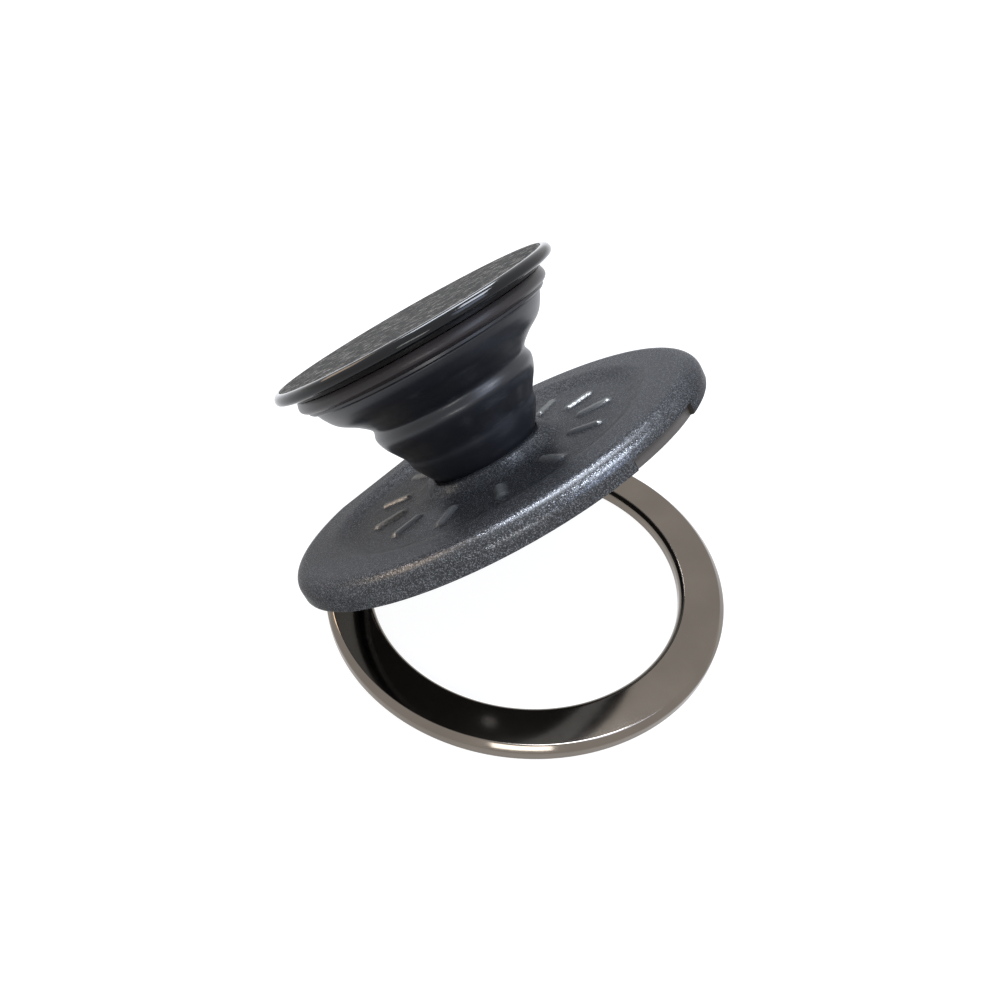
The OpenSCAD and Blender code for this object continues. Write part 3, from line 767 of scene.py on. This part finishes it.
# Cap
# A polycarbonate cap with a glossy rounded rim and underside, and a stem with two lugs that locks
# in the platform with a quarter turn.
CAP_TOP, CAP_ROUND, CAP_UNDER_Z, FACE_Z = 23.8, 0.85, 21.75, 23.45
STEM_R, STEM_IN_R, STEM_Z = 8.4, 7.0, 19.95
LUG_IN_R, LUG_R, LUG_Z, LUG_HALF = 8.1, 9.3, 20.65, 15


def cap_section():
    """Half section of the cap, from the underside round the rim to the recess for the face."""
    section = [(0.0, CAP_UNDER_Z), (STEM_IN_R, CAP_UNDER_Z), (STEM_IN_R, STEM_Z), (STEM_R, STEM_Z)]
    section += [(STEM_R, CAP_UNDER_Z), (17.5, CAP_UNDER_Z), (17.65, 21.79)]
    section += [(19.35, 22.4), (19.5, 22.47)]
    section += arc(18.85, 22.95, CAP_ROUND, -20, 90, 18)
    return section + [(18.68, CAP_TOP), (18.65, 23.77), (18.65, FACE_Z), (0.0, FACE_Z)]


def glossy_rim():
    """Gloss-moulded polycarbonate: near black and shiny, with small scuffs that break up the
    highlight."""
    material, tree = new_finish("gloss_polycarbonate")
    scuffs = grains(tree, 1.4, detail=6.0, rough=0.65)
    skin = add(tree, "ShaderNodeBsdfPrincipled",
               {"Base Color": linear("#0f1012"), "Metallic": 0.0, "Specular IOR Level": 0.28,
                "Roughness": remapped(tree, scuffs, 0.45, 0.75, 0.06, 0.16),
                "Normal": bumped(tree, scuffs, 0.012)})
    add(tree, "ShaderNodeOutputMaterial", {"Surface": skin.outputs[0]})
    return material


cap_gloss = glossy_rim()
lugs = [("UNION", sector(LUG_IN_R, LUG_R, STEM_Z, LUG_Z, turn - LUG_HALF, turn + LUG_HALF, 12))
        for turn in LUG_TURNS]
cap = worked("cap", turned("cap", cap_section(), cap_gloss), lugs)
piece("cap_shell", cap, "cap", ["cap_disc"], on_open_disc)


# Cap face
# A thin printed and embossed disc glued in the cap's recess: dark grey, with a fine woven relief
# and worn lines across it.
FACE_R = 18.6


def woven_print():
    """Embossed film: dark grey with a fine crossing relief, worn pale along its lines and at its
    edge. The pattern lies in the plane of the open disc."""
    material, tree = new_finish("embossed_film")
    home = on_open_disc.inverted()
    where = add(tree, "ShaderNodeTexCoord")
    flat = add(tree, "ShaderNodeMapping",
               {"Vector": where.outputs["Object"], "Location": home.to_translation(),
                "Rotation": home.to_euler()})

    def worn_lines(direction, pitch, seed):
        """Thin broken lines at that pitch in mm, 0 between them and up to 1 on them."""
        waves = add(tree, "ShaderNodeTexWave",
                    {"Vector": flat.outputs[0], "Scale": math.tau / (20 * pitch * MM),
                     "Distortion": 1.2, "Detail": 2.0, "Detail Scale": 0.6, "Phase Offset": seed},
                    bands_direction=direction)
        thin = remapped(tree, waves.outputs["Fac"], 0.72, 1.0, 0.0, 1.0)
        patches = add(tree, "ShaderNodeTexNoise",
                      {"Vector": flat.outputs[0], "Scale": 1 / (1.6 * MM), "Detail": 5.0,
                       "Roughness": 0.7})
        kept = remapped(tree, patches.outputs["Fac"], 0.48, 0.66, 0.0, 1.0)
        return add(tree, "ShaderNodeMath", {0: thin, 1: kept}, operation="MULTIPLY").outputs[0]

    both = add(tree, "ShaderNodeMath",
               {0: worn_lines("X", 0.95, 0.4), 1: worn_lines("Y", 1.25, 1.9)},
               operation="MAXIMUM").outputs[0]
    flat_place = add(tree, "ShaderNodeVectorMath", {0: flat.outputs[0], 1: (1, 1, 0)},
                     operation="MULTIPLY")
    out = add(tree, "ShaderNodeVectorMath", {0: flat_place.outputs[0]}, operation="LENGTH")
    frayed = remapped(tree, out.outputs["Value"], (FACE_R - 0.7) * MM, (FACE_R - 0.1) * MM,
                      0.0, 1.0)
    chips = remapped(tree, grains(tree, 0.35, detail=4.0, rough=0.7), 0.52, 0.62, 0.0, 1.0)
    edge = add(tree, "ShaderNodeMath", {0: frayed, 1: chips}, operation="MULTIPLY").outputs[0]
    worn = add(tree, "ShaderNodeMath", {0: both, 1: edge}, operation="MAXIMUM").outputs[0]
    cloud = grains(tree, 0.3, detail=5.0, rough=0.65)
    shade = remapped(tree, cloud, 0.35, 0.65, 0.0, 1.0)
    ink = blended(tree, shade, linear("#0b0b0c"), linear("#252524"))
    tint = blended(tree, worn, ink, linear("#8a877f"))
    height = add(tree, "ShaderNodeMath", {0: worn, 1: cloud}, operation="ADD")
    film = add(tree, "ShaderNodeBsdfPrincipled",
               {"Base Color": tint, "Specular IOR Level": 0.03,
                "Roughness": remapped(tree, cloud, 0.3, 0.7, 0.5, 0.68),
                "Normal": bumped(tree, height.outputs[0], 0.03)})
    add(tree, "ShaderNodeOutputMaterial", {"Surface": film.outputs[0]})
    return material


face_section = [(0.0, FACE_Z), (FACE_R, FACE_Z), (FACE_R, 23.72), (FACE_R - 0.08, CAP_TOP)]
face_section += [(0.0, CAP_TOP)]
face = turned("face", face_section, woven_print())
piece("cap_face_film", face, "cap", ["cap_face"], on_open_disc)
